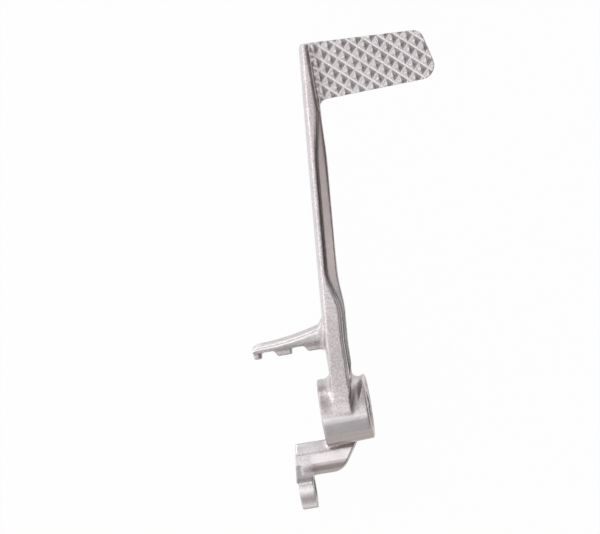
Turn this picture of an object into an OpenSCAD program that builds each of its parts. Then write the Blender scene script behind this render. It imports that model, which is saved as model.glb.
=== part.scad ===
// Rear brake pedal of a motorbike, one aluminium casting.
// Origin: middle of the pivot bore. +X runs outboard along the bore,
// +Y forward to the foot pad, +Z up, the side that the boot treads on.

/* [Pivot boss] */
// Length of the boss along the pivot
boss_len = 20; // [16:0.5:26]
// Diameter of the boss at its inboard end
boss_d_inboard = 28.6; // [27.6:0.2:32]
// Diameter of the boss at its outboard end, less the casting draft
boss_d_outboard = 27; // [25:0.2:27.4]
// Diameter of the pivot bore
bore_d = 18; // [12:0.5:20]
// Chamfer at both ends of the bore
bore_chamfer = 0.8; // [0.3:0.1:1.2]
// Chamfer round the end faces of the boss
boss_chamfer = 0.3; // [0.2:0.1:1]
// Radius where the arm's inboard side runs into the boss
root_fillet = 3.8; // [2:0.1:4]

/* [Arm] */
// Distance from the pivot to the middle of the foot pad
reach = 140.5; // [125:0.5:160]
// Inboard side of the arm at its root, from the middle of the boss
root_inboard = 4.1; // [3:0.1:5]
// Angle at which the arm leans outboard
lean = 4.75; // [3:0.05:7]
// Distance from the pivot at which the lean starts
lean_start = 28; // [22:1:34]
// Width of the arm at the boss
arm_w_root = 9.3; // [8.5:0.1:10.5]
// Width of the arm from where the lean starts to where the rail narrows, its widest place
arm_w_wide = 10.1; // [9:0.1:11]
// Width of the arm where the rail has become slim
arm_w_slim = 8.3; // [7.6:0.1:9]
// Width of the arm where it reaches the pad
arm_w_pad = 7; // [6.6:0.1:8]
// Depth of the arm near its root
arm_depth_root = 18; // [14:0.5:20]
// Depth of the arm at the pad
arm_depth_pad = 9.5; // [8:0.5:12]
// Height that the top of the arm gains between the boss and the pad
arm_rise = 9; // [6:0.2:14]
// Radius of the arm's rounded forward end
end_round = 1.5; // [0.8:0.1:1.8]
// Radius of the arm's lower edges
under_round = 2.2; // [1:0.1:2.8]

/* [Rail and side pocket] */
// Width of the raised rail near the root
rail_w_root = 7.9; // [6.5:0.1:8.1]
// Width of the raised rail along its slim stretch
rail_w_slim = 3.5; // [3:0.1:4.5]
// Width of the raised rail where the pad starts
rail_w_pad = 5.4; // [4.5:0.1:6]
// Distance from the pivot at which the rail starts to narrow
slim_start = 40; // [36:1:46]
// Length over which the rail narrows
slim_run = 18; // [12:1:24]
// Distance before the pad at which the rail widens again
widen_run = 27; // [20:1:36]
// Depth of the side pocket below the rail near the root
pocket_depth_root = 6; // [4:0.2:7]
// Depth of the pocket along the slim stretch
pocket_depth_slim = 3; // [2.4:0.2:4]
// Slope of the pocket's floor near the root, down towards the outboard side
pocket_slope_root = 16; // [5:1:25]
// Slope of the pocket's floor along the slim stretch
pocket_slope_slim = 5; // [2:1:12]
// Radius at the foot of the pocket's wall
pocket_round = 0.8; // [0.4:0.1:1.2]
// Radius of the outboard brink of the pocket's floor
brink_round = 0.9; // [0.4:0.1:1.2]
// Distance that the arm's inboard side draws in below the rail's rounding
side_draw = 0.8; // [0.2:0.1:1]
// Width of the rounding along the rail's inboard side
rail_round_w = 2.1; // [1:0.1:2.3]
// Height of that rounding
rail_round_h = 4; // [2:0.1:4.2]
// Share of that rounding and drawing in that is left at the boss
rail_round_root = 0.35; // [0.2:0.05:0.8]
// Distance that the arm spreads to both sides on the boss
root_flare = 1.3; // [0.5:0.1:1.6]
// Distance from the pivot at which that spread starts
flare_start = 11; // [8:0.5:14]
// Radius of the rail's outboard edge
rail_brink = 0.5; // [0.3:0.1:0.8]
// Height of the rail above the outboard end of the boss
rail_proud = 0.75; // [0.5:0.05:1.2]
// Radius at which the rail's rear end dips into the boss
rail_dip_r = 4.5; // [3:0.5:8]
// Radius of the hollow that runs from the pocket's end round the front of the boss
hollow_r = 2.35; // [1.8:0.05:2.8]
// Place of the hollow over the boss, outboard of its middle
hollow_x = 4.6; // [4:0.1:5.5]
// Angle at which the hollow turns outboard
hollow_turn = 9.5; // [6:0.5:12]
// Distance of the ring that cuts the hollow above the surface of the boss
hollow_lift = 1.25; // [0.9:0.05:1.5]
// Distance of that ring's middle behind the pivot
hollow_back = 1.6; // [1.2:0.05:2]
// Distance of that ring's middle below the pivot
hollow_down = 1.35; // [1:0.05:1.6]

/* [Foot pad] */
// Reach of the pad outboard of the bore's middle, at half the pad's width
pad_end = 59.9; // [50:0.1:70]
// Width of the pad at the arm
pad_w_inboard = 24.3; // [20:0.1:30]
// Width of the pad at its outboard end
pad_w_outboard = 20.5; // [17:0.1:24]
// Angle by which the outboard end slants
pad_end_slant = 14; // [0:1:20]
// Radius of the pad's forward outboard corner
pad_round_front = 4.5; // [2:0.5:6]
// Radius of the pad's rear outboard corner
pad_round_rear = 6; // [3:0.5:8]
// Radius between the pad's rear edge and the arm
pad_fillet = 3.5; // [2:0.5:5]
// Thickness of the pad under the tread
pad_t = 5.2; // [4:0.2:6.4]
// Chamfer round the underside of the pad
pad_chamfer = 1.2; // [0.6:0.1:1.6]

/* [Tread] */
// Spacing of the tread's pyramids
tread_pitch = 4.23; // [3.8:0.01:5.5]
// Height of a pyramid
tread_h = 1.2; // [0.8:0.1:1.6]
// Width of the flat valley between pyramids
tread_valley = 0.45; // [0.3:0.05:0.8]
// Width of the flat on a pyramid's tip
tread_tip = 0.35; // [0.3:0.05:0.6]
// Angle between the rows of tips and the pivot
tread_angle = 3.1; // [-5:0.1:10]
// Place of a crossing of two valleys, outboard of the bore's middle
tread_x = 33.9; // [20:0.1:50]
// Distance of that crossing behind the middle of the pad
tread_back = 1.6; // [-3:0.1:3]
// Bevel along the inboard edge of the tread
tread_bevel = 1.4; // [0.6:0.1:1.8]
// Drop from the top of the rail to the tips
tread_drop = 0.8; // [0.4:0.1:1.4]
// Width of the channel between the rail and the tread
channel_w = 0.9; // [0.6:0.1:1.2]
// Depth of that channel below the top of the rail
channel_depth = 3.4; // [3:0.2:4]

/* [Spring tab] */
// Distance from the pivot to the rear side of the tab
tab_rear = 28.8; // [27:0.1:34]
// Reach of the tab inboard of the bore's middle
tab_reach = 34; // [26:0.2:40]
// Width of the tab at its end
tab_w = 4.3; // [3.4:0.1:5]
// Width that the tab's forward side gains at the arm
tab_flare = 4.2; // [2:0.1:6]
// Depth of the tab at the arm
tab_depth_root = 10; // [7:0.5:11]
// Depth of the tab at its end
tab_depth_end = 6.4; // [5.6:0.2:7.4]
// Radius of the tab's upper forward edge
tab_front_round = 1.5; // [0.8:0.1:1.7]
// Distance that the tab's forward side draws in towards its top
tab_draw = 1.3; // [0.6:0.1:1.5]
// Radius of the tab's rear edges
tab_edge_round = 0.7; // [0.4:0.1:0.9]
// Slope of the tab's top, down towards the rear
tab_slope = 15; // [5:1:22]
// Radius at which the tab spreads where it joins the arm
tab_spread = 1.6; // [1:0.2:3]
// Height of the tab's middle above the pivot
tab_z = 9.5; // [7:0.5:11]
// Radius of the tab's end
tab_end_round = 3; // [2:0.1:3.2]
// Diameter of the spring peg
peg_d = 3.8; // [3:0.1:4]
// Length of the spring peg behind the tab
peg_len = 2.5; // [2:0.1:5]
// Distance of the peg's side from the end of the tab
peg_inset = 0.15; // [0.1:0.05:1]
// Drop of the peg's middle below the middle of the tab
peg_drop = 0.4; // [0.2:0.1:0.6]
// Rounding of the peg's end
peg_round = 0.9; // [0.3:0.1:1.2]
// Distance that the two lugs stand out behind the tab
lug_len = 2.4; // [1.5:0.1:3.5]
// Width of the outer lug's face
lug_w = 6; // [4.5:0.1:9]
// Place of the outer lug's outboard side, inboard of the bore's middle
lug_x = 17.6; // [16:0.1:19]
// Reach of the root lug inboard of the bore's middle
root_lug_x = 10.9; // [10:0.1:14]
// Run of the sloping side of each lug
lug_run = 1.7; // [0.5:0.1:2.5]
// Height of the lugs
lug_h = 5; // [3.5:0.5:6]

/* [Rear lever] */
// Distance from the pivot back to the rear side of the cross bar
bar_rear = 24.8; // [23:0.1:28]
// Width of the cross bar, front to rear
bar_w = 14; // [12:0.1:14.4]
// Depth of the cross bar
bar_depth = 11; // [9:0.5:13]
// Drop from the pivot to the top of the cross bar
bar_drop = 3.2; // [2:0.1:5]
// Width of the sloping face along the front of the cross bar
bar_slope_w = 4.7; // [3:0.1:6]
// Fall of that sloping face
bar_slope_fall = 3.2; // [2:0.1:5]
// Radius of the cross bar's rear edges
bar_round = 5.1; // [3:0.1:5.4]
// Place of the lever's outboard side at the boss
lever_side = 2.6; // [1:0.1:4]
// Angle at which that side turns inboard
lever_turn = 34; // [20:1:40]
// Radius of the bend in the lever's outboard side
lever_bend = 7.5; // [4:0.5:9]
// Distance back from the pivot to the pushrod hole
eye_y = 29.9; // [28:0.1:34]
// Distance of the pushrod hole below the pivot
eye_drop = 16; // [14:0.5:18]
// Distance from the middle of the boss inboard to the middle of the eye
eye_offset = 22.3; // [20:0.1:26]
// Thickness of the machined eye
eye_t = 7; // [5:0.1:8]
// Outer radius of the eye
eye_r = 8.3; // [7:0.1:9]
// Diameter of the hole for the pushrod pin
eye_hole_d = 8.2; // [6.2:0.1:10.2]
// Metal left standing beyond each machined face of the eye
eye_stock = 0.5; // [0.3:0.1:1]
// Distance that the ear's inboard side draws in towards the boss
ear_draw = 2.7; // [0:0.1:3.2]

/* [Hidden] */

metal = [0.83, 0.8, 0.81];
// Facets of a quarter round that is part of an outline
curve_steps = 6;
// Facets of a full turn: of the bores and round faces, of a fillet's round, of the spring peg
turn_facets = 96;
fillet_facets = 64;
peg_facets = 48;
// Distance that two parts of the casting run into each other
into = 1;
// Distance that a fillet sinks into the faces that it joins
fillet_sink = 0.15;
// Draft of the casting below its parting line, in degrees
draft = 3;
// Share of the arm's depth that lies below its parting line
parting_share = 0.45;
// Share of the side pocket's width that the lean of its wall takes
wall_share = 0.15;
// Largest share of the side pocket's width that one of its radii takes
round_share = 0.38;
// Angles from the upright at which the pocket's wall leaves its upper and its lower radius
wall_lean_top = 15;
wall_lean_foot = 10;
// Largest share of the side's height that the rail's rounding takes
rounding_share = 0.7;
// Power that shapes the tab's forward side
tab_curve = 1.8;
// Angle from the upright at which the tab's forward side leaves its edges' radii
tab_lean = 10;
// Turn of the tab's round end up to its last cross section, short of a quarter turn
tab_end_turn = 80;
// Distance behind the pivot at which the arm's loft ends, inside the boss
arm_tail = 4.5;
// Place on the round eye, as an angle, where the ear's top runs into it
eye_join = 72;

boss_r_inboard = boss_d_inboard / 2;
boss_r_outboard = boss_d_outboard / 2;
boss_half = boss_len / 2;
pad_rear = reach - pad_w_inboard / 2;
pad_front = reach + pad_w_inboard / 2;
rail_top_root = boss_r_outboard + rail_proud;
rail_top_pad = rail_top_root + arm_rise;
tread_base = rail_top_pad - tread_drop - tread_h;
pad_bottom = tread_base - pad_t;
slim_end = slim_start + slim_run;
widen_start = pad_rear - widen_run;

function mix(a, b, t) = a + (b - a) * t;
function clamp(t) = min(1, max(0, t));
function along(y, from, to) = clamp((y - from) / (to - from));
function ease(t) = t * t * (3 - 2 * t);
function reversed(list) = [for (i = [len(list) - 1 : -1 : 0]) list[i]];
function arc(cx, cy, r, from, to, steps = curve_steps) =
    [for (i = [0 : steps]) [cx + r * cos(mix(from, to, i / steps)), cy + r * sin(mix(from, to, i / steps))]];
// Places that divide a stretch into n equal steps, its start left out
function stretch(from, to, n) = [for (k = [1 : n]) mix(from, to, k / n)];
function at_y(line, y) = [for (p = line) [p[0], y, p[1]]];
function at_z(line, z) = [for (p = line) [p[0], p[1], z]];

// Arc of radius r in the corner b of the outline a, b, c
function corner(a, b, c, r, steps = curve_steps) =
    let (
        to_a = (a - b) / norm(a - b),
        to_c = (c - b) / norm(c - b),
        half = acos(to_a * to_c) / 2,
        middle = (to_a + to_c) / norm(to_a + to_c),
        centre = b + middle * r / sin(half),
        start = b + to_a * r / tan(half) - centre,
        end = b + to_c * r / tan(half) - centre,
        from = atan2(start[1], start[0]),
        turn = atan2(start[0] * end[1] - start[1] * end[0], start * end)
    )
    arc(centre[0], centre[1], r, from, from + turn, steps);

// Solid through a row of cross sections, each a pair of equally long lines
// that run the same way, the upper or forward one first
module loft(sections) {
    half = len(sections[0][0]);
    around = 2 * half;
    last = len(sections) - 1;
    points = [for (s = sections) each concat(s[0], reversed(s[1]))];
    walls = [
        for (j = [0 : last - 1], i = [0 : around - 1])
        let (a = j * around + i, b = j * around + (i + 1) % around)
        each [[a, b + around, b], [a, a + around, b + around]]
    ];
    first_end = [
        for (i = [0 : half - 2])
        let (c = around - 1 - i)
        each [[i, i + 1, c - 1], [i, c - 1, c]]
    ];
    last_end = [for (face = first_end) [for (k = reversed(face)) k + last * around]];
    polyhedron(points, concat(walls, first_end, last_end));
}

// Lies along the pivot what was drawn along Z
module along_pivot() {
    rotate([0, 90, 0]) children();
}

// Extrudes an outline of forward and upward distances from one place on the pivot to another
module side_profile(from, to) {
    translate([from, 0, 0]) rotate([90, 0, 90]) linear_extrude(to - from) children();
}

// Sides and levels of the arm at the distance y forward of the pivot
function flare(y) = root_flare * pow(1 - along(y, 0, flare_start), 2);
function arm_left(y) = -root_inboard - flare(y) + tan(lean) * max(0, y - lean_start);
function arm_width(y) =
    y < lean_start ? mix(arm_w_root, arm_w_wide, along(y, boss_r_outboard, lean_start))
    : y < slim_end ? mix(arm_w_wide, arm_w_slim, ease(along(y, slim_start, slim_end)))
    : mix(arm_w_slim, arm_w_pad, along(y, slim_end, pad_rear));
function arm_right(y) = arm_left(y) + arm_width(y) + 2 * flare(y);
function rail_width(y) =
    y < slim_end ? mix(rail_w_root, rail_w_slim, ease(along(y, slim_start, slim_end)))
    : mix(rail_w_slim, rail_w_pad, ease(along(y, widen_start, pad_rear)));
function rail_right(y) = arm_left(min(y, pad_rear)) + rail_width(min(y, pad_rear)) + 2 * flare(y);
function rail_top(y) =
    rail_top_pad - arm_rise * pow(1 - along(y, 0, pad_rear), 2) - pow(min(0, y), 2) / 2 / rail_dip_r;
function arm_bottom(y) =
    rail_top(y) - mix(arm_depth_root, arm_depth_pad, along(y, boss_r_outboard, pad_rear));
function pocket(y) =
    y < slim_end ? mix(pocket_depth_root, pocket_depth_slim, ease(along(y, slim_start, slim_end)))
    : mix(pocket_depth_slim, channel_depth, ease(along(y, widen_start, pad_rear)));
function pocket_slope(y) = mix(pocket_slope_root, pocket_slope_slim, ease(along(y, slim_start, slim_end)));
// Distance that the arm's rounded forward end draws in
function nose(y) = end_round - sqrt(max(0, pow(end_round, 2) - pow(max(0, y - pad_front + end_round), 2)));

function arm_section(y) =
    let (
        left = arm_left(y) + nose(y),
        edge = rail_right(y),
        right = arm_right(y),
        top = rail_top(y) - nose(y),
        bottom = arm_bottom(y) + nose(y),
        floor_w = right - edge,
        wall_run = floor_w * wall_share,
        foot_r = min(pocket_round, floor_w * round_share),
        brink_r = min(brink_round, floor_w * round_share),
        foot_x = edge + wall_run + foot_r,
        floor_z = rail_top(y) - pocket(y),
        brink_z = floor_z - (floor_w - wall_run - foot_r) * tan(pocket_slope(y)),
        parting = mix(bottom, top, parting_share),
        taper = (parting - bottom - under_round) * tan(draft),
        rounding = mix(rail_round_root, 1, ease(along(y, 0, slim_start))),
        draw = side_draw * rounding,
        round_w = min(rail_round_w * rounding, edge - left - draw - 2 * rail_brink),
        round_h = min(rail_round_h * rounding, (top - parting) * rounding_share),
        foot_left = left + taper + under_round,
        foot_right = right - taper - under_round,
        upper = concat(
            [for (p = arc(0, 0, 1, 180, 90, 2 * curve_steps))
                [left + draw + round_w * (1 + p[0]), top - round_h * (1 - p[1])]],
            arc(edge - rail_brink, top - rail_brink, rail_brink, 90, wall_lean_top, 2),
            arc(foot_x, floor_z + foot_r, foot_r, 180 + wall_lean_foot, 270 - wall_lean_foot, 3),
            arc(right - brink_r, brink_z - brink_r, brink_r, 90 - wall_lean_top, 0, 3)
        ),
        lower = concat(
            reversed(stretch([left + taper, bottom + under_round], [left, parting], curve_steps + 1)),
            arc(foot_left, bottom + under_round, under_round, 180, 270, 5),
            [for (k = [1 : 4]) [mix(foot_left, foot_right, k / 5), bottom]],
            arc(foot_right, bottom + under_round, under_round, 270, 360, 5),
            [[right, parting]]
        )
    )
    [at_y(upper, y), at_y(lower, y)];

module arm() {
    stations = concat(
        [-arm_tail],
        stretch(-arm_tail, 0, 5),
        stretch(0, boss_r_outboard, 2),
        stretch(boss_r_outboard, lean_start, 2),
        stretch(lean_start, slim_start, 3),
        stretch(slim_start, slim_end, 10),
        stretch(slim_end, widen_start, 4),
        stretch(widen_start, pad_rear, 7),
        stretch(pad_rear, pad_front - end_round, 3),
        [for (turn = stretch(0, 90, 4)) pad_front - end_round * (1 - sin(turn))]
    );
    loft([for (y = stations) arm_section(y)]);
}

module boss() {
    slope = (boss_r_inboard - boss_r_outboard) / boss_len;
    along_pivot() rotate_extrude($fn = turn_facets) polygon([
        [0, -boss_half],
        [boss_r_inboard - boss_chamfer, -boss_half],
        [boss_r_inboard - slope * boss_chamfer, -boss_half + boss_chamfer],
        [boss_r_outboard + slope * boss_chamfer, boss_half - boss_chamfer],
        [boss_r_outboard - boss_chamfer, boss_half],
        [0, boss_half]
    ]);
}

// Radius of the boss at the place x along the pivot
function boss_r(x) = mix(boss_r_inboard, boss_r_outboard, (x + boss_half) / boss_len);

// Ring round the boss between two places on the pivot, kept to the arm's side below the drop from its top
module root_ring(from, to, ring_r, drop) {
    inner_r = boss_r(to) - into;
    intersection() {
        along_pivot() rotate_extrude($fn = turn_facets)
            translate([inner_r, from]) square([ring_r - inner_r, to - from]);
        side_profile(-boss_half, boss_half) polygon([
            [into, rail_top(into) - drop],
            [ring_r, rail_top(ring_r) - drop],
            [ring_r, arm_bottom(ring_r) + under_round],
            [into, arm_bottom(into) + under_round]
        ]);
    }
}

// Fillet between the boss and the arm's inboard side
module inboard_blend() {
    centre = root_inboard + root_fillet - fillet_sink;
    ring_r = boss_r(-centre) + root_fillet - fillet_sink;
    difference() {
        root_ring(-centre, rail_round_w - root_inboard, ring_r, rail_round_h / 2);
        along_pivot() rotate_extrude($fn = turn_facets)
            translate([ring_r, -centre]) circle(r = root_fillet, $fn = fillet_facets);
    }
}

// Metal between the boss and the arm's outboard side, from which the hollow is cut
module outboard_blend() {
    flank = arm_w_root - root_inboard;
    ring_r = boss_r_outboard + hollow_r + hollow_lift - hollow_back;
    root_ring(flank - into, flank + hollow_r, ring_r, pocket_depth_root);
}

// Cutter for the hollow, a ring that leans outboard and leaves the boss at its crown and below its front
module hollow_cutter() {
    ring_r = boss_r_outboard + hollow_r + hollow_lift;
    outer = ring_r + hollow_r + into;
    intersection() {
        translate([hollow_x, -hollow_back, -hollow_down]) rotate([0, 0, -hollow_turn]) along_pivot()
            rotate_extrude($fn = turn_facets) translate([ring_r, 0]) circle(r = hollow_r, $fn = fillet_facets);
        translate([0, -hollow_r - into, -boss_r_outboard / 2]) cube([boss_len, outer, 2 * outer]);
    }
}

// Outline of the pad, drawn in by the distance inset, as its forward and its rear line
function pad_outline(inset) =
    let (
        left = rail_right(pad_rear) + channel_w,
        half_in = pad_w_inboard / 2 - inset,
        half_out = pad_w_outboard / 2 - inset,
        end = pad_end - inset,
        lean_out = half_out * tan(pad_end_slant),
        flank = arm_right(pad_rear) - fillet_sink,
        front_left = [left, reach + half_in],
        front_right = [end - lean_out, reach + half_out],
        rear_right = [end + lean_out, reach - half_out],
        rear_left = [flank, reach - half_in],
        tip = [flank - tan(lean) * pad_fillet, reach - half_in - pad_fillet - into],
        front_turn = corner(front_left, front_right, rear_right, pad_round_front - inset),
        rear_turn = corner(rear_left, rear_right, front_right, pad_round_rear - inset),
        arm_turn = corner(tip, rear_left, rear_right, pad_fillet + inset),
        between = len(arm_turn) + 1
    )
    [
        concat([for (k = [0 : between - 1]) mix(front_left, front_turn[0], k / between)], front_turn),
        concat([tip], arm_turn, rear_turn)
    ];

// Cutter that leaves one set of straight ridges, whose crossing makes the pyramids
module ridge_cutter() {
    slope_run = (tread_pitch - tread_valley - tread_tip) / 2;
    over = tread_h * tread_tip / slope_run / 4;
    rows = ceil(pad_end / 2 / tread_pitch);
    ridge_half = tread_tip / 2 - over * slope_run / tread_h;
    length = pad_end + pad_w_inboard;
    valleys = [
        for (k = [-rows : rows])
        each [
            [(k - 0.5) * tread_pitch + ridge_half, tread_h + over],
            [k * tread_pitch - tread_valley / 2, 0],
            [k * tread_pitch + tread_valley / 2, 0],
            [(k + 0.5) * tread_pitch - ridge_half, tread_h + over]
        ]
    ];
    side = (rows + 0.5) * tread_pitch;
    rotate([90, 0, 0]) linear_extrude(length, center = true)
        polygon(concat(valleys, [[side, 2 * tread_h], [-side, 2 * tread_h]]));
}

module pad() {
    outline = pad_outline(0);
    left = outline[0][0][0];
    tips = tread_base + tread_h;
    difference() {
        translate([0, 0, pad_bottom + pad_chamfer])
            linear_extrude(tips - pad_bottom - pad_chamfer) polygon(concat(outline[0], reversed(outline[1])));
        for (turn = [-45, 45])
            translate([tread_x, reach - tread_back, tread_base])
                rotate([0, 0, tread_angle + turn]) ridge_cutter();
        translate([0, pad_front + into, 0]) rotate([90, 0, 0]) linear_extrude(2 * pad_w_inboard) polygon([
            [left - into, tips - tread_bevel - into],
            [left + tread_bevel + into, tips + into],
            [left - into, tips + into]
        ]);
    }
    inner = pad_outline(pad_chamfer);
    loft([
        [at_z(outline[0], pad_bottom + pad_chamfer), at_z(outline[1], pad_bottom + pad_chamfer)],
        [at_z(inner[0], pad_bottom), at_z(inner[1], pad_bottom)]
    ]);
}

// Distance that the tab has spread at the distance d inboard of the bore's middle
function tab_gain(d) =
    let (left = clamp((root_inboard + tab_spread - d) / tab_spread))
    tab_spread * (1 - sqrt(1 - left * left));
// Forward side of the tab there
function tab_front(d) =
    tab_rear + tab_w + tab_gain(d)
    + tab_flare * pow(1 - along(d, root_inboard, tab_reach - tab_end_round), tab_curve)
    - tab_end_round + sqrt(max(0, pow(tab_end_round, 2) - pow(max(0, d - tab_reach + tab_end_round), 2)));
function tab_section(d) =
    let (
        depth = mix(tab_depth_root, tab_depth_end, along(d, root_inboard, tab_reach)),
        front = tab_front(d),
        scale = min(1, (front - tab_rear) / tab_w),
        round = tab_front_round * scale,
        edge = tab_edge_round * scale,
        draw = tab_draw * scale,
        top = tab_z + depth / 2 + tab_gain(d) / 2,
        bottom = tab_z - depth / 2 - tab_gain(d),
        fall = (front - draw - tab_rear) * tan(tab_slope),
        foot_front = front - draw / 2 - edge,
        upper = concat(
            arc(tab_rear + edge, top - fall - edge, edge, 180, 90 + tab_slope, 3),
            arc(front - draw - round, top - round, round, 90 + tab_slope, tab_lean, 5),
            [[front, tab_z]]
        ),
        lower = concat(
            arc(tab_rear + edge, bottom + edge, edge, 180, 270, 3),
            [for (k = [1 : 2]) [mix(tab_rear + edge, foot_front, k / 3), bottom]],
            arc(foot_front, bottom + edge, edge, 270, 360 - tab_lean, 4)
        )
    )
    [at_y(upper, d), at_y(lower, d)];

module tab() {
    bend_start = tab_reach - tab_end_round;
    spread_end = root_inboard + tab_spread;
    stations = concat(
        [root_inboard - rail_round_w],
        [for (k = [0 : 4]) mix(root_inboard, spread_end, pow(k / 4, 2))],
        stretch(spread_end, bend_start, 6),
        [for (turn = stretch(0, tab_end_turn, 4)) bend_start + tab_end_round * sin(turn)]
    );
    rotate([0, 0, 90]) loft([for (d = stations) tab_section(d)]);
}

module spring_peg() {
    length = peg_len + tab_w / 2;
    translate([peg_d / 2 + peg_inset - tab_reach, tab_rear + tab_w / 2, tab_z - peg_drop])
        rotate([90, 0, 0]) rotate_extrude($fn = peg_facets) polygon(concat(
            [[0, 0], [peg_d / 2, 0]],
            arc(peg_d / 2 - peg_round, length - peg_round, peg_round, 0, 90, 3),
            [[0, length]]
        ));
}

// A lug behind the tab, flat at its face, between two places inboard of the bore's middle
module lug(outboard, inboard) {
    root = tab_rear + into / 2;
    translate([0, 0, tab_z - lug_h / 2 - into / 2]) linear_extrude(lug_h) polygon([
        [-outboard, root],
        [-inboard - lug_run, root],
        [-inboard, tab_rear - lug_len],
        [-outboard, tab_rear - lug_len]
    ]);
}

// Side view of the cross bar: sloping front face, flat top, round rear
module bar_side() {
    front = bar_w - bar_rear;
    bottom = -bar_drop - bar_depth;
    polygon(concat(
        [[front, -bar_drop - bar_slope_fall], [front - bar_slope_w, -bar_drop]],
        arc(bar_round - bar_rear, -bar_drop - bar_round, bar_round, 90, 180),
        arc(bar_round - bar_rear, bottom + bar_round, bar_round, 180, 270),
        [[front - bar_slope_w / 2, bottom], [front, bottom + bar_slope_w / 2]]
    ));
}

// Top view of the cross bar with the web that rises into the boss
module bar_top() {
    swing = tan(lever_turn);
    side_start = [lever_side, -boss_r_outboard + into];
    side_end = [lever_side - swing * (bar_rear - boss_r_outboard + into), -bar_rear];
    ear_x = -eye_offset;
    polygon(concat(
        [[ear_x, bar_w - bar_rear], [lever_side, bar_w - bar_rear]],
        [side_start],
        corner(side_start, side_end, [ear_x, -bar_rear], lever_bend),
        [[ear_x, -bar_rear]]
    ));
}

module cross_bar() {
    intersection() {
        translate([0, 0, -bar_drop - bar_depth - into]) linear_extrude(bar_depth + 2 * into) bar_top();
        side_profile(-eye_offset - eye_t, lever_side + into) bar_side();
    }
}

// Side view of the ear, from the cross bar down to the round eye
module ear_side() {
    front = bar_w - bar_rear;
    bottom = -bar_drop - bar_depth;
    polygon([
        [front, -bar_drop - bar_slope_fall],
        [front - bar_slope_w, -bar_drop],
        [bar_round - bar_rear, -bar_drop],
        [eye_r * cos(eye_join) - eye_y, eye_r * sin(eye_join) - eye_drop],
        [-eye_y, -eye_drop],
        [-eye_y, -eye_drop - eye_r + into],
        [front - bar_slope_w / 2, bottom],
        [front, bottom + bar_slope_w / 2]
    ]);
    translate([-eye_y, -eye_drop]) circle(r = eye_r, $fn = turn_facets);
}

module ear() {
    half = eye_t / 2 + eye_stock;
    front = bar_w - bar_rear;
    rear = -eye_y - eye_r - into;
    intersection() {
        translate([0, 0, -eye_drop - eye_r - into]) linear_extrude(eye_drop + eye_r) polygon([
            [-eye_offset - half + ear_draw, front],
            [-eye_offset - half, -eye_y],
            [-eye_offset - half, rear],
            [-eye_offset + half, rear],
            [-eye_offset + half, front]
        ]);
        side_profile(-eye_offset - half - into, -eye_offset + half + into) ear_side();
    }
}

module bore_cutter() {
    flare = bore_chamfer + into;
    along_pivot() {
        cylinder(d = bore_d, h = boss_len + 2 * into, center = true, $fn = turn_facets);
        for (end = [0, 180])
            rotate([end, 0, 0]) translate([0, 0, boss_half - bore_chamfer])
                cylinder(r1 = bore_d / 2, r2 = bore_d / 2 + flare, h = flare, $fn = turn_facets);
    }
}

module eye_cutter() {
    translate([-eye_offset, -eye_y, -eye_drop]) along_pivot() {
        cylinder(d = eye_hole_d, h = 3 * eye_t, center = true, $fn = turn_facets);
        for (end = [0, 180])
            rotate([end, 0, 0]) translate([0, 0, eye_t / 2])
                cylinder(r = eye_r + into / 4, h = eye_t, $fn = turn_facets);
    }
}

module brake_pedal() {
    color(metal) difference() {
        union() {
            boss();
            arm();
            inboard_blend();
            outboard_blend();
            pad();
            tab();
            spring_peg();
            lug(lug_x, lug_x + lug_w);
            lug(root_inboard - into, root_lug_x);
            cross_bar();
            ear();
        }
        hollow_cutter();
        bore_cutter();
        eye_cutter();
    }
}

brake_pedal();
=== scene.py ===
"""Looks of the rear brake pedal: one raw aluminium casting, seen from above."""

import math

import bmesh
import bpy
import numpy as np
from mathutils import Matrix, Vector, noise


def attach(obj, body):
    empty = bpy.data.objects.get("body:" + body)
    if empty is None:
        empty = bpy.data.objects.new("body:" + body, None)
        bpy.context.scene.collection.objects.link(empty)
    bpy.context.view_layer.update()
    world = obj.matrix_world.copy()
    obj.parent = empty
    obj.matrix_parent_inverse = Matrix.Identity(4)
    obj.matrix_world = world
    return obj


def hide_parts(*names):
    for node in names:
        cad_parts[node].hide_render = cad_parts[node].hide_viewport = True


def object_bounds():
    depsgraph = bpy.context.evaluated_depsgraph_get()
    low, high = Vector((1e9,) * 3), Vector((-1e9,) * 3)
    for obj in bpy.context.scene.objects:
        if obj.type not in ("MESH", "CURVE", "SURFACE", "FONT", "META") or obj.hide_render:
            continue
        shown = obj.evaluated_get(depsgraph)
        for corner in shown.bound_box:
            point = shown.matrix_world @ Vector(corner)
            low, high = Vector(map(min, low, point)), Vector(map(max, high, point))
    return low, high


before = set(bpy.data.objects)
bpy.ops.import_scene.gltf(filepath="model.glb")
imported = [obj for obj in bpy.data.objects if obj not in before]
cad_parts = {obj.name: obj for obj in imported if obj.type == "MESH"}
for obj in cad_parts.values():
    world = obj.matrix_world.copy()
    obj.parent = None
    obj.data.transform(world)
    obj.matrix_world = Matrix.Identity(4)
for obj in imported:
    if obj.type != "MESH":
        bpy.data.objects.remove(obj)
cad_lo, cad_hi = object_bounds()

MM = 0.001

# Casting mesh
VOXEL = 0.30 * MM
WELD = 0.001 * MM
TRIANGLES = 190_000
SOFT_STEPS = 12
FILL_STEPS = 120
FILL_ROUNDS = 5
MOVE_RATE = 0.5
SKIN_HEIGHT = 0.04 * MM
SKIN_SCALE = 260.0

# Shares of the smoothing that crisp places are spared, and the share that filled corners get again
TREAD_SPARED = 0.75
RAIL_SPARED = 0.65
LEVER_SPARED = 0.6
SKIN_SPARED = 0.7
CORNER_AGAIN = 0.8

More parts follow.
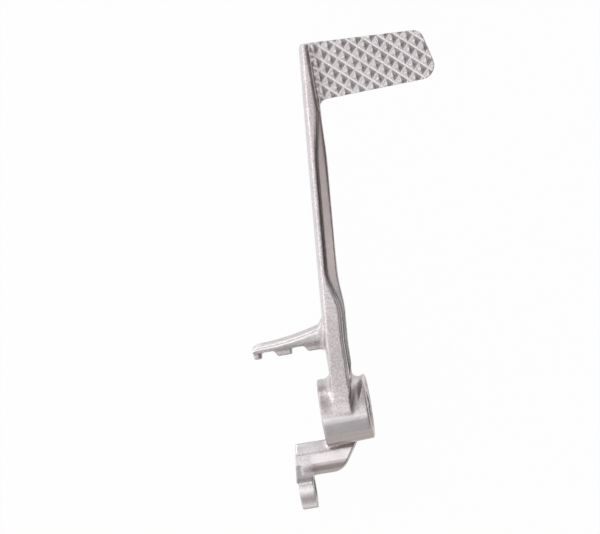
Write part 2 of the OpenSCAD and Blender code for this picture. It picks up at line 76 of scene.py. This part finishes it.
# Inner corners that the casting fills out more than the CAD solid: place, reach, share
CORNERS = (
    ((-5.8 * MM, 3.0 * MM, 13.0 * MM), 8.5 * MM, 1.0),
    ((5.0 * MM, -0.5 * MM, 13.2 * MM), 3.0 * MM, 0.6),
    ((-5.0 * MM, 31.0 * MM, 10.0 * MM), 8.0 * MM, 0.6),
    ((-18.5 * MM, -24.0 * MM, -9.0 * MM), 4.0 * MM, 0.5),
    ((-4.0 * MM, -13.0 * MM, -4.0 * MM), 12.0 * MM, 0.2),
)

# Arm and boss, as the part's source has them
BOSS_R = 14.3 * MM
RAIL_TOP = 23.25 * MM
ARM_RISE = 9 * MM
ARM_LEFT = -4.1 * MM
LEAN = math.tan(math.radians(4.75))
LEAN_START = 28 * MM
PAD_REAR = 128.35 * MM
PAD_LEFT = 13.0 * MM
SLIM_START = 40 * MM
SLIM_END = 58 * MM
WIDEN_START = 101.35 * MM

# Places across the arm in millimetres, from its inboard side: at the root, along the slim stretch and at
# the pad. Each has the solid's, then the casting's: end of the rounding, rail's edge, foot of the wall,
# brink and outboard side
ACROSS = (
    ((2.9, 7.9, 9.0, 9.25, 10.1), (2.9, 8.0, 9.15, 9.95, 10.3)),
    ((2.9, 3.5, 5.0, 7.4, 8.3), (3.1, 3.4, 4.5, 8.1, 8.3)),
    ((2.9, 5.4, 6.2, 6.4, 7.0), (2.9, 5.6, 6.3, 6.7, 7.0)),
)

# Ring of the hollow beside the rail, as the part's source has it: middle, turn, radius and round
HOLLOW = (4.6 * MM, -1.6 * MM, -1.35 * MM)
HOLLOW_TURN = math.radians(9.5)
HOLLOW_RING = 17.1 * MM
HOLLOW_R = 2.35 * MM

# Spring tab, as the part's source has it: rear side, start of its round end, width there, flare at the arm
TAB_REAR = 28.8 * MM
TAB_END = 31.0 * MM
TAB_W = 4.3 * MM
TAB_FLARE = 4.2 * MM
TAB_CURVE = 1.8

# Machined places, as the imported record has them, the face round the pushrod hole and its depth
BORE_R = 9.0 * MM
EYE_R = 4.1 * MM
EYE = Vector((-22.3 * MM, -29.9 * MM, -16.0 * MM))
EYE_FACE_R = 8.3 * MM
EYE_STEP = 0.45 * MM
EAR_OUTBOARD = -15 * MM

# Tread of the foot pad: a crossing of its valleys, the angle and spacing of its rows, valley and tip widths,
# base, height, how hollow the sides are, and the most that a tip is raised
TREAD_X = 33.9 * MM
TREAD_Y = 138.9 * MM
TREAD_ANGLE = 3.1
TREAD_PITCH = 4.23 * MM
TREAD_VALLEY = 0.45 * MM
TREAD_TIP = 0.35 * MM
TREAD_BASE = 21.25 * MM
TREAD_H = 1.05 * MM
TREAD_HOLLOW = 0.45
TIP_RAISE = 0.15 * MM

# Zones in millimetres, each from where it starts to where it is whole. First the tread, from the pad's rear
# and inboard sides and the tread's base, then the rail, from the arm's inboard side and the rail's top
BORE_EDGE = (0.2, 1.2)
TREAD_ALONG, TREAD_ACROSS, TREAD_UP, TREAD_SIDES = (-2, -1), (0, 1), (-0.9, -0.3), (-0.3, -0.15)
RAIL_ALONG, RAIL_ACROSS, RAIL_UP = (14, 20), (1.6, 2.2), (-8, -7)
LEVER_BACK, LEVER_DOWN, LEVER_INBOARD = (9.5, 11), (2, 3), (-1, 1)
FACE_EDGE, FACE_SIDE = (0, 0.4), (-3, -2)
DRAWN_UP, DRAWN_END, DRAWN_INSIDE, DRAWN_OUTSIDE = (-8.5, -6.5), (-4, -1), (-1, 0), (0.6, 2)

# Zones of the smooth places: the boss behind the rail, the bar, the bores, the pocket, what lies below the
# rail, and the tread's valleys
BOSS_SKIN = 0.4 * MM
BOSS_BACK = (2, 3)
BAR_BACK, BAR_OUTBOARD = (15.5, 17), (-18.5, -17.5)
BORE_WALL = (0, 0.3)
POCKET_DOWN, POCKET_ACROSS, POCKET_ALONG = (1.8, 2.6), (2.5, 3.5), (8, 12)
POCKET_PAST = 1 * MM
BELOW_RAIL, BEFORE_PAD = (-2.2, -1.2), (-1, 0)
VALLEY_ALONG, VALLEY_ACROSS, VALLEY_UP, VALLEY_SIDES = (-1, 0), (1, 2), (-0.3, -0.1), (0, 0.15)

# Polish of those places
BOSS_POLISH, BOSS_BACK_POLISH = 0.35, 0.65
POCKET_POLISH = 0.85
BELOW_POLISH = 0.45
RIDGE_POLISH = 0.8
LUGS_MATT = 0.9

# Zones of the places with painted light and shade: the tab, the bar's slope, crease and round rear, the
# hollow, the nooks, the wall of the pushrod hole, the ear, and the arm and boss near the root
TAB_INBOARD, TAB_ALONG, TAB_TIP = (5, 6), (-4, -3), (-2, 0)
SLOPE_BACK, SLOPE_DOWN, SLOPE_FALL = (10.5, 11), (2.5, 3), (15, 16)
CREASE_BACK, CREASE_REACH, CREASE_INBOARD = 15.5 * MM, 0.3 * MM, (5, 7)
ROUND_BACK, ROUND_UP = (19.6, 20.3), (-16, -9)
HOLLOW_EDGE, HOLLOW_ALONG = (0.2, 0.6), (-2, 0)
NOOK_DOWN = (-2, 1)
EYE_WALL = (0.2, 0.7)
EAR_TONED = -18.6 * MM
EAR_BACK = (22, 24)
ROOT_UP, ROOT_START, ROOT_END = (-1.2, -0.8), (6, 12), (25, 50)
BOSS_INBOARD, BOSS_FRONT = (4, 5), (-2, 0)

# Shares of the tab's width, from its rear side, for its polish and its painted highlight and shade: the lugs
# and web, the ridge at the end and its shift towards the arm, the ridge's width, and the front band
TAB_BEHIND = (0.1, 0.3)
RIDGE_AT, RIDGE_SHIFT, RIDGE_WIDTH = 0.3, 0.2, 0.15
TAB_FRONT = (0.66, 0.8)

# How far a surface faces up: where each of these starts and where it is whole
UP_TREAD, UP_POCKET, UP_RIDGE, UP_LUGS = (0.4, 0.7), (0.3, 0.6), (0.3, 0.6), (0.2, 0.5)
UP_SLOPE, UP_BOSS, UP_EAR, UP_SIDE = (0.7, 0.82), (0.6, 0.85), (0.3, 0.7), (0.2, 0.5)
SIDE_TURN, SIDE_FACING = 0.6, (0.3, 0.7)

# Nooks with painted shade, where the bar leaves the boss and meets the ear, seen from above: place and reach
NOOKS = (
    ((-10.4 * MM, -12.2 * MM), 1.6 * MM),
    ((-7.4 * MM, -13.9 * MM), 1.7 * MM),
    ((-18.4 * MM, -21.9 * MM), 1.8 * MM),
)

# Bands of painted highlight and painted shade along the ear: place, reach and change of the painted shading
EAR_BANDS = (
    (-26.0 * MM, 0.9 * MM, -0.35),
    (-29.8 * MM, 1.6 * MM, 0.5),
    (-34.0 * MM, 1.8 * MM, -0.16),
)

# Painted light and shade, from 0, the darkest, to 1, the lightest: its plain level, and how much each place
# changes it
PLAIN_SHADING = 0.5
TAB_LIGHT, RIDGE_LIGHT, FRONT_DARK, LUGS_DARK = 0.3, 0.3, 0.38, 0.48
VALLEY_LIGHT = 0.1
SLOPE_LIGHT, SLOPE_DARK, CREASE_DARK, ROUND_DARK = 0.5, 0.42, 0.3, 0.38
BOSS_PLACE, BOSS_LIGHT, BOSS_DARK = 0.9, 0.1, 0.5
ROOT_POCKET_LIGHT, SLIM_POCKET_DARK = 0.5, 0.85
SIDE_DARK, HOLLOW_DARK, NOOK_DARK = 0.5, 0.18, 0.35
ROOT_DARK, BOSS_INBOARD_DARK = 0.1, 0.12

# Aluminium: metal share, scale, detail and roughness of its grain and clouds, and the grain's share
METAL = 0.9
GRAIN = (1300, 3, 0.6)
CLOUD = (150, 3, 0.5)
GRAIN_SHARE = 0.75

# Colours: of the grain from its dark to its light spots, of polished places, and of the painted shading at 0,
# 0.5 and 1, from a brownish painted shade and reflection to a white painted highlight
TINTS = ((0.42, (0.74, 0.69, 0.705, 1)), (0.58, (1.0, 0.97, 0.98, 1)))
POLISHED = (0.95, 0.925, 0.935, 1)
POLISHED_SHARE = 0.75
SHADING_COLOURS = ((0.39, 0.335, 0.315, 1), (0.80, 0.78, 0.785, 1), (1.0, 1.0, 1.0, 1))

# Roughness and height of the grain, from polished to matt
ROUGHNESS = (0.28, 0.42)
CLOUDED = ((0.3, 0.7), (-0.05, 0.05))
GRAIN_HEIGHT = (0.06, 0.48)
GRAIN_DEPTH = 0.35 * MM

# Camera
SIDE_TILT = math.radians(3.5)
PICTURE_TURN = math.radians(9.4)
FRAME_WIDTH = 249 * MM
CENTRE_X = -9.19 * MM
CENTRE_Y = 61.47 * MM
CAMERA_AWAY = 0.6

# Floor: width, the gap under the lowest point of the pedal, which rests on nothing, its colour, and how white
# the camera and reflections see it
FLOOR_WIDTH = 8
FLOOR_GAP = 2.2 * MM
FLOOR_COLOUR = (0.9, 0.9, 0.9, 1)
FLOOR_WHITE = 0.97

# Light: each panel's name, direction, distance, size and level, then the soft surroundings
MIDDLE = (0, 0.06, 0)
PANELS = (
    ("left", (-1.0, 0.15, 0.12), 1.0, 0.7, 1.5),
    ("front_left", (-0.4, 0.88, 0.25), 1.0, 0.5, 1.5),
    ("above", (-0.12, -0.27, 1.0), 1.0, 0.75, 0.74),
)
SOFT_SIDE = (-0.98, 0.16, 0.05)
SOFT_COLOUR = (1, 0.985, 0.98, 1)
SOFT_DIM = 0.02
SOFT_BRIGHT = 1.0


def copy_of(node, name):
    """A free copy of a CAD node's mesh, with its doubled vertices welded."""
    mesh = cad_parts[node].data.copy()
    mesh.name = name
    mesh.materials.clear()
    piece = bpy.data.objects.new(name, mesh)
    bpy.context.scene.collection.objects.link(piece)
    work = bmesh.new()
    work.from_mesh(mesh)
    bmesh.ops.remove_doubles(work, verts=work.verts, dist=WELD)
    work.to_mesh(mesh)
    work.free()
    return piece


def apply_modifiers(piece):
    """Leaves the piece's evaluated mesh as its own, with no modifiers."""
    graph = bpy.context.evaluated_depsgraph_get()
    made = bpy.data.meshes.new_from_object(piece.evaluated_get(graph))
    old = piece.data
    piece.modifiers.clear()
    piece.data = made
    bpy.data.meshes.remove(old)


def points_of(mesh):
    co = np.zeros(len(mesh.vertices) * 3, np.float32)
    mesh.vertices.foreach_get("co", co)
    return co.reshape(-1, 3).astype(float)


def set_points(mesh, co):
    mesh.vertices.foreach_set("co", co.astype(np.float32).ravel())
    mesh.update()


def normals_of(mesh):
    out = np.zeros(len(mesh.vertices) * 3, np.float32)
    mesh.vertices.foreach_get("normal", out)
    return out.reshape(-1, 3).astype(float)


def edges_of(mesh):
    pairs = np.zeros(len(mesh.edges) * 2, np.int32)
    mesh.edges.foreach_get("vertices", pairs)
    return pairs.reshape(-1, 2)


def neighbours_of(co, pairs):
    """How many neighbours each vertex has, and at least 1."""
    count = np.bincount(pairs.ravel(), minlength=len(co)).astype(float)
    count[count == 0] = 1
    return count


def neighbour_mean(values, pairs, count):
    """Mean of each vertex's neighbours, for a list of points."""
    total = np.zeros_like(values)
    for k in range(values.shape[1]):
        total[:, k] = np.bincount(pairs[:, 0], values[pairs[:, 1], k], len(values))
        total[:, k] += np.bincount(pairs[:, 1], values[pairs[:, 0], k], len(values))
    return total / count[:, None]


def smooth(co, pairs, weight, steps):
    """Evens the surface out where weight says so."""
    count = neighbours_of(co, pairs)
    for _ in range(steps):
        co = co + (neighbour_mean(co, pairs, count) - co) * (MOVE_RATE * weight)[:, None]
    return co


def fill(co, normals, pairs, weight, steps):
    """Evens out inner corners alone, so that metal is added there and none is lost."""
    count = neighbours_of(co, pairs)
    for _ in range(steps):
        move = neighbour_mean(co, pairs, count) - co
        outward = np.clip((move * normals).sum(1), 0, None)
        co = co + normals * (outward * MOVE_RATE * weight)[:, None]
    return co


def ramp(values, low, high):
    """Rises from 0 at low to 1 at high, softly."""
    t = np.clip((values - low) / (high - low), 0, 1)
    return t * t * (3 - 2 * t)


def rise(lengths, zone):
    """Rises from 0 to 1 over a zone in millimetres."""
    return ramp(lengths, zone[0] * MM, zone[1] * MM)


def peak(values, middle, reach):
    """1 at the middle, and soon 0 beyond reach."""
    return np.exp(-((values - middle) / reach) ** 2)


def rail_top_at(y):
    return RAIL_TOP - ARM_RISE * np.clip(1 - y / PAD_REAR, 0, 1) ** 2


def arm_left_at(y):
    return ARM_LEFT + LEAN * np.clip(y - LEAN_START, 0, None)


def drawn_rail(co):
    """Narrows the slim rail, leans its wall and sharpens the brink of the pocket, by moves across the arm."""
    x, y, z = co[:, 0], co[:, 1], co[:, 2]
    slim = ramp(y, SLIM_START, SLIM_END)
    late = ramp(y, WIDEN_START, PAD_REAR)
    across = x - arm_left_at(y)
    shift, old_end, new_end = np.zeros(len(x)), np.zeros(len(x)), np.zeros(len(x))
    for root, thin, pad in zip(zip(*ACROSS[0]), zip(*ACROSS[1]), zip(*ACROSS[2])):
        old, new = (
            ((root[k] * (1 - slim) + thin[k] * slim) * (1 - late) + pad[k] * late) * MM for k in (0, 1)
        )
        share = np.clip((across - old_end) / (old - old_end), 0, 1)
        shift += share * ((new - old) - (new_end - old_end))
        old_end, new_end = old, new
    high = rise(z - rail_top_at(y), DRAWN_UP)
    along = rise(y, RAIL_ALONG) * (1 - rise(y - PAD_REAR, DRAWN_END))
    beside = rise(across, DRAWN_INSIDE) * (1 - rise(across - old_end, DRAWN_OUTSIDE))
    co[:, 0] += shift * high * along * beside
    return co


def tread_height(x, y):
    """Height of the tread's pyramids above their valleys, with slightly hollow sides."""
    run = (TREAD_PITCH - TREAD_VALLEY - TREAD_TIP) / 2
    least = np.ones(len(x))
    for turn in (-45, 45):
        angle = math.radians(TREAD_ANGLE + turn)
        across = (x - TREAD_X) * math.cos(angle) + (y - TREAD_Y) * math.sin(angle)
        away = np.abs(across - TREAD_PITCH * np.round(across / TREAD_PITCH))
        least = np.minimum(least, np.clip((away - TREAD_VALLEY / 2) / run, 0, 1))
    return TREAD_H * ((1 - TREAD_HOLLOW) * least + TREAD_HOLLOW * least ** 3)


def casting():
    """The pedal with a casting's soft edges, run-in corners and uneven skin."""
    piece = copy_of("brake_pedal", "pedal_casting")
    grid = piece.modifiers.new("grid", "REMESH")
    grid.mode = "VOXEL"
    grid.voxel_size = VOXEL
    apply_modifiers(piece)
    mesh = piece.data
    co, pairs = points_of(mesh), edges_of(mesh)

    x, y, z = co.T
    eye = np.hypot(y - EYE.y, z - EYE.z)
    free = rise(np.hypot(y, z) - BORE_R, BORE_EDGE)
    free *= np.where(x < EAR_OUTBOARD, rise(eye - EYE_R, BORE_EDGE), 1)
    tread = rise(z - TREAD_BASE, TREAD_UP) * rise(y - PAD_REAR, TREAD_ALONG) * rise(x - PAD_LEFT, TREAD_ACROSS)
    rail = rise(x - arm_left_at(y), RAIL_ACROSS) * rise(y, RAIL_ALONG) * rise(z - rail_top_at(y), RAIL_UP)
    lever = rise(-y, LEVER_BACK) * rise(-z, LEVER_DOWN) * rise(-x, LEVER_INBOARD)
    soft = free * (1 - TREAD_SPARED * tread) * (1 - RAIL_SPARED * rail) * (1 - LEVER_SPARED * lever)
    co = smooth(co, pairs, soft, SOFT_STEPS)
    face = (1 - rise(eye - EYE_FACE_R, FACE_EDGE)) * (1 - rise(co[:, 0] - EYE.x, FACE_SIDE))
    co[:, 0] += EYE_STEP * face
    co = drawn_rail(co)
    set_points(mesh, co)

    corner = np.zeros(len(co))
    for place, reach, share in CORNERS:
        away = np.linalg.norm(co - np.array(place), axis=1)
        corner = np.maximum(corner, share * (1 - ramp(away, reach / 2, reach)))
    corner *= free * (1 - tread)
    for _ in range(FILL_ROUNDS):
        co = fill(co, normals_of(mesh), pairs, corner, FILL_STEPS // FILL_ROUNDS)
        set_points(mesh, co)
    co = smooth(co, pairs, CORNER_AGAIN * corner, SOFT_STEPS)
    set_points(mesh, co)

    up = normals_of(mesh)[:, 2]
    crisp = np.minimum(TREAD_BASE + tread_height(co[:, 0], co[:, 1]), co[:, 2] + TIP_RAISE)
    facing = ramp(up, *UP_TREAD) * rise(co[:, 2] - TREAD_BASE, TREAD_SIDES)
    co[:, 2] += (crisp - co[:, 2]) * tread * facing
    set_points(mesh, co)
    skin = np.array([noise.noise(Vector(p) * SKIN_SCALE) for p in co])
    depth = SKIN_HEIGHT * (1 + skin) / 2 * free * (1 - SKIN_SPARED * tread)
    co -= normals_of(mesh) * depth[:, None]
    co = np.clip(co, np.array(cad_lo), np.array(cad_hi))
    set_points(mesh, co)

    fewer = piece.modifiers.new("fewer", "DECIMATE")
    fewer.ratio = min(1.0, TRIANGLES / (2 * len(mesh.polygons)))
    fewer.use_collapse_triangulate = True
    apply_modifiers(piece)
    for face in piece.data.polygons:
        face.use_smooth = True
    paint(piece.data)
    print("casting:", len(piece.data.polygons), "faces")
    return piece


def hollow_share(x, y, z):
    """1 in the round hollow beside the rail, where shade is painted."""
    dx, dy, dz = x - HOLLOW[0], y - HOLLOW[1], z - HOLLOW[2]
    along_axis = dx * math.cos(HOLLOW_TURN) - dy * math.sin(HOLLOW_TURN)
    across_axis = dx * math.sin(HOLLOW_TURN) + dy * math.cos(HOLLOW_TURN)
    away = np.hypot(np.hypot(across_axis, dz) - HOLLOW_RING, along_axis)
    return (1 - rise(away - HOLLOW_R, HOLLOW_EDGE)) * rise(y, HOLLOW_ALONG) * (z > 0)


def nook_share(x, y, z):
    """1 in the nooks beside the bar, where shade is painted."""
    nook = np.zeros(len(x))
    for place, reach in NOOKS:
        nook = np.maximum(nook, peak(np.hypot(x - place[0], y - place[1]), 0, reach))
    return nook * rise(-z, NOOK_DOWN)


def tab_shares(x, y, up):
    """The tab, its ridge, its lugs and web, and its front band, where highlight and shade are painted."""
    tab = rise(-x, TAB_INBOARD) * rise(y - TAB_REAR, TAB_ALONG)
    run_out = np.clip((-x + ARM_LEFT) / (TAB_END + ARM_LEFT), 0, 1)
    share = (y - TAB_REAR) / (TAB_W + TAB_FLARE * (1 - run_out) ** TAB_CURVE)
    ridge = peak(share, RIDGE_AT + RIDGE_SHIFT * (1 - run_out), RIDGE_WIDTH) * ramp(up, *UP_RIDGE)
    behind = 1 - ramp(share, *TAB_BEHIND)
    front = ramp(share, *TAB_FRONT) * (1 - rise(-x - TAB_END, TAB_TIP))
    return tab, ridge, behind, front


def paint(mesh):
    """Gives each vertex its polish, which is high at smooth places, and its painted light and shade, from dark
    to light.
    """
    co, away = points_of(mesh), normals_of(mesh)
    x, y, z = co.T
    up = away[:, 2]
    rail_top, arm_left = rail_top_at(y), arm_left_at(y)
    slim = ramp(y, SLIM_START, SLIM_END)
    tab, ridge, behind, front = tab_shares(x, y, up)
    nook = nook_share(x, y, z)
    # Wall of the pushrod hole, where shade is painted and polish is taken away
    eye_wall = (1 - rise(np.hypot(y - EYE.y, z - EYE.z) - EYE_R, EYE_WALL)) * (x < EAR_OUTBOARD)

    in_boss = np.hypot(y, z) < BOSS_R + BOSS_SKIN
    boss = in_boss * (BOSS_POLISH + BOSS_BACK_POLISH * rise(-y, BOSS_BACK))
    bar = rise(-y, BAR_BACK) * rise(x, BAR_OUTBOARD)
    bore = 1 - rise(np.hypot(y, z) - BORE_R, BORE_WALL)
    pocket = rise(rail_top - z, POCKET_DOWN) * ramp(up, *UP_POCKET) * rise(x - arm_left, POCKET_ACROSS)
    pocket *= rise(y, POCKET_ALONG) * (y < PAD_REAR + POCKET_PAST)
    below = (1 - rise(z - rail_top, BELOW_RAIL)) * (1 - rise(x - PAD_LEFT, BEFORE_PAD))
    valley = rise(y - PAD_REAR, VALLEY_ALONG) * rise(x - PAD_LEFT, VALLEY_ACROSS)
    valley *= rise(z - TREAD_BASE, VALLEY_UP) * (1 - rise(tread_height(x, y), VALLEY_SIDES))
    polish = np.maximum.reduce([boss, bar, bore, POCKET_POLISH * pocket, BELOW_POLISH * below, valley])
    # The tab's ridge is polished and its lugs made matt, along with their painted highlight and shade
    polish = np.maximum(polish * (1 - LUGS_MATT * tab * behind), RIDGE_POLISH * tab * ridge)
    polish *= (1 - nook) * (1 - eye_wall)

    # Painted reflection on the bar's sloping face, darker further back, and painted shade along its crease
    slope = rise(-y, SLOPE_BACK) * rise(-z, SLOPE_DOWN) * ramp(up, *UP_SLOPE)
    crease = peak(-y, CREASE_BACK, CREASE_REACH) * rise(-x, CREASE_INBOARD)
    # Painted brownish reflection on the bar's round rear
    round_rear = rise(-y, ROUND_BACK) * rise(x, BAR_OUTBOARD) * rise(z, ROUND_UP)
    # Painted shade on steep faces turned outboard and rearward
    side = ramp(SIDE_TURN * away[:, 0] - away[:, 1], *SIDE_FACING) * (1 - ramp(up, *UP_SIDE))
    # Painted shade on the rail's top near the root
    root = rise(z - rail_top, ROOT_UP) * rise(y, ROOT_START) * (1 - rise(y, ROOT_END))
    # Where the ear's painted highlight and shade bands go
    ear = (x < EAR_TONED) * rise(-y, EAR_BACK) * ramp(up, *UP_EAR)
    # Painted light and shade: its plain level, with a painted highlight in the tread's valleys
    painted_shading = PLAIN_SHADING + VALLEY_LIGHT * valley
    lugs = behind * ramp(up, *UP_LUGS)
    # Painted light on the tab and a painted highlight on its ridge, painted shade on its front band and on its
    # lugs and web
    painted_shading += tab * (TAB_LIGHT + RIDGE_LIGHT * ridge - FRONT_DARK * front - LUGS_DARK * lugs)
    # Painted reflection and crease shade on the bar's slope
    painted_shading += slope * (SLOPE_LIGHT - SLOPE_DARK * rise(-y, SLOPE_FALL) - CREASE_DARK * crease)
    # Painted reflection on the boss behind the rail: lighter where it faces up, brownish dark where it turns
    # away
    painted_shading += (boss > BOSS_PLACE) * (BOSS_LIGHT - BOSS_DARK * (1 - ramp(up, *UP_BOSS)))
    # Painted light on the pocket's floor near the root, painted shade along the slim stretch
    painted_shading += (ROOT_POCKET_LIGHT - SLIM_POCKET_DARK * slim) * pocket
    # Painted reflection on the bar's round rear, painted shade on outboard and rear faces and in the hollow
    painted_shading -= ROUND_DARK * round_rear + SIDE_DARK * side + HOLLOW_DARK * hollow_share(x, y, z)
    # Painted shade in the nooks, on the wall of the pushrod hole and on the rail's top near the root
    painted_shading -= NOOK_DARK * nook + eye_wall + ROOT_DARK * root
    # Painted dark reflection on the boss's inboard front
    painted_shading -= BOSS_INBOARD_DARK * in_boss * rise(-x, BOSS_INBOARD) * rise(y, BOSS_FRONT)
    # Painted highlight and shade bands along the ear
    for place, reach, change in EAR_BANDS:
        painted_shading += change * ear * peak(y, place, reach)
    for name, values in (("polish", polish), ("painted_shading", painted_shading)):
        layer = mesh.attributes.new(name, "FLOAT", "POINT")
        layer.data.foreach_set("value", np.clip(values, 0, 1).astype(np.float32))


def aluminium():
    """Blasted cast aluminium: matt, grainy and slightly pink, smoother where "polish" is high, with painted
    light and shade multiplied into its colour.
    """
    material = bpy.data.materials.new("cast_aluminium")
    material.use_nodes = True
    tree = material.node_tree
    nodes, link = tree.nodes, tree.links.new
    shader = nodes["Principled BSDF"]
    shader.inputs["Metallic"].default_value = METAL
    place = nodes.new("ShaderNodeTexCoord")

    def value_of(name):
        node = nodes.new("ShaderNodeAttribute")
        node.attribute_name = name
        return node.outputs["Fac"]

    def noise_of(scale, detail, roughness):
        texture = nodes.new("ShaderNodeTexNoise")
        texture.inputs["Scale"].default_value = scale
        texture.inputs["Detail"].default_value = detail
        texture.inputs["Roughness"].default_value = roughness
        link(place.outputs["Object"], texture.inputs["Vector"])
        return texture.outputs["Fac"]

    def sum_of(kind, first, second):
        node = nodes.new("ShaderNodeMath")
        node.operation = kind
        for socket, value in zip(node.inputs, (first, second)):
            if isinstance(value, (int, float)):
                socket.default_value = value
            else:
                link(value, socket)
        return node.outputs[0]

    def span(value, source, target):
        node = nodes.new("ShaderNodeMapRange")
        node.inputs["From Min"].default_value, node.inputs["From Max"].default_value = source
        node.inputs["To Min"].default_value, node.inputs["To Max"].default_value = target
        link(value, node.inputs["Value"])
        return node.outputs["Result"]

    def colour_of(value, stops):
        node = nodes.new("ShaderNodeValToRGB")
        elements = node.color_ramp.elements
        for element, (position, colour) in zip(elements, (stops[0], stops[-1])):
            element.position, element.color = position, colour
        for position, colour in stops[1:-1]:
            elements.new(position).color = colour
        link(value, node.inputs["Fac"])
        return node.outputs["Color"]

    def mix_of(kind, share, first, second):
        node = nodes.new("ShaderNodeMix")
        node.data_type = "RGBA"
        node.blend_type = kind
        for name, value in (("Factor", share), ("A", first), ("B", second)):
            if isinstance(value, (int, float, tuple)):
                node.inputs[name].default_value = value
            else:
                link(value, node.inputs[name])
        return node.outputs["Result"]

    polish = value_of("polish")
    grain = noise_of(*GRAIN)
    cloud = noise_of(*CLOUD)
    matt = sum_of("SUBTRACT", 1, polish)
    mottle = sum_of("ADD", sum_of("MULTIPLY", grain, GRAIN_SHARE), sum_of("MULTIPLY", cloud, 1 - GRAIN_SHARE))
    even = mix_of("MIX", sum_of("MULTIPLY", polish, POLISHED_SHARE), colour_of(mottle, TINTS), POLISHED)
    # Painted light and shade, multiplied into the base colour
    painted_shading = colour_of(value_of("painted_shading"), tuple(zip((0, 0.5, 1), SHADING_COLOURS)))
    link(mix_of("MULTIPLY", 1, even, painted_shading), shader.inputs["Base Color"])

    rough = sum_of("ADD", span(matt, (0, 1), ROUGHNESS), span(cloud, *CLOUDED))
    link(rough, shader.inputs["Roughness"])

    bump = nodes.new("ShaderNodeBump")
    bump.inputs["Distance"].default_value = GRAIN_DEPTH
    link(span(matt, (0, 1), GRAIN_HEIGHT), bump.inputs["Strength"])
    link(grain, bump.inputs["Height"])
    link(bump.outputs["Normal"], shader.inputs["Normal"])
    return material


def floor_material():
    """White for the camera and in reflections, with a light shadow kept."""
    material = bpy.data.materials.new("floor")
    material.use_nodes = True
    tree = material.node_tree
    nodes, link = tree.nodes, tree.links.new
    nodes.clear()
    out = nodes.new("ShaderNodeOutputMaterial")
    matt = nodes.new("ShaderNodeBsdfDiffuse")
    matt.inputs["Color"].default_value = FLOOR_COLOUR
    glow = nodes.new("ShaderNodeEmission")
    glow.inputs["Color"].default_value = (1, 1, 1, 1)
    glow.inputs["Strength"].default_value = 1
    rays = nodes.new("ShaderNodeLightPath")
    most = nodes.new("ShaderNodeMath")
    most.operation = "MAXIMUM"
    more = nodes.new("ShaderNodeMath")
    more.operation = "MAXIMUM"
    share = nodes.new("ShaderNodeMath")
    share.operation = "MULTIPLY"
    share.inputs[1].default_value = FLOOR_WHITE
    mix = nodes.new("ShaderNodeMixShader")
    link(rays.outputs["Is Camera Ray"], most.inputs[0])
    link(rays.outputs["Is Glossy Ray"], most.inputs[1])
    link(most.outputs[0], more.inputs[0])
    link(rays.outputs["Is Transmission Ray"], more.inputs[1])
    link(more.outputs[0], share.inputs[0])
    link(share.outputs[0], mix.inputs["Fac"])
    link(matt.outputs[0], mix.inputs[1])
    link(glow.outputs[0], mix.inputs[2])
    link(mix.outputs[0], out.inputs["Surface"])
    return material


def panel(name, towards, away, size, level):
    """A square soft light that shines on the middle of the pedal."""
    data = bpy.data.lights.new(name, "AREA")
    data.shape = "SQUARE"
    data.size = size
    data.energy = level * math.pi * size * size
    light = bpy.data.objects.new(name, data)
    bpy.context.scene.collection.objects.link(light)
    direction = Vector(towards).normalized()
    light.location = Vector(MIDDLE) + direction * away
    light.rotation_euler = direction.to_track_quat("Z", "Y").to_euler()


def studio_world():
    """Soft surroundings, bright to the left of the picture and dim to its right."""
    world = bpy.data.worlds.new("studio")
    bpy.context.scene.world = world
    world.use_nodes = True
    nodes, link = world.node_tree.nodes, world.node_tree.links.new
    place = nodes.new("ShaderNodeTexCoord")
    side = nodes.new("ShaderNodeVectorMath")
    side.operation = "DOT_PRODUCT"
    side.inputs[1].default_value = Vector(SOFT_SIDE).normalized()
    fade = nodes.new("ShaderNodeMapRange")
    fade.inputs["From Min"].default_value = -1
    fade.inputs["From Max"].default_value = 1
    fade.inputs["To Min"].default_value = SOFT_DIM
    fade.inputs["To Max"].default_value = SOFT_BRIGHT
    link(place.outputs["Generated"], side.inputs[0])
    link(side.outputs["Value"], fade.inputs["Value"])
    link(fade.outputs["Result"], nodes["Background"].inputs["Strength"])
    nodes["Background"].inputs["Color"].default_value = SOFT_COLOUR


def studio():
    """Floor, lamps and surroundings."""
    bpy.ops.mesh.primitive_plane_add(size=FLOOR_WIDTH, location=(0, MIDDLE[1], cad_lo.z - FLOOR_GAP))
    floor = bpy.context.active_object
    floor.name = "floor"
    floor.data.materials.append(floor_material())
    for row in PANELS:
        panel(*row)
    studio_world()


def camera():
    """Looks down on the tread, a little from the outboard side."""
    turn, tilt = PICTURE_TURN, SIDE_TILT
    right = Vector((math.cos(tilt) * math.cos(turn), -math.sin(turn), -math.sin(tilt) * math.cos(turn)))
    up = Vector((math.cos(tilt) * math.sin(turn), math.cos(turn), -math.sin(tilt) * math.sin(turn)))
    away = right.cross(up)
    data = bpy.data.cameras.new("camera")
    data.type = "ORTHO"
    data.ortho_scale = FRAME_WIDTH
    view = bpy.data.objects.new("camera", data)
    bpy.context.scene.collection.objects.link(view)
    middle = Vector((CENTRE_X / math.cos(tilt), CENTRE_Y, 0))
    spin = Matrix((right, up, away)).transposed().to_4x4()
    view.matrix_world = Matrix.Translation(middle + away * CAMERA_AWAY) @ spin
    bpy.context.scene.camera = view


pedal = casting()
pedal.data.materials.append(aluminium())
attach(pedal, "root")
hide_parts("brake_pedal")
studio()
camera()

view_settings = bpy.context.scene.view_settings
view_settings.view_transform = "Standard"
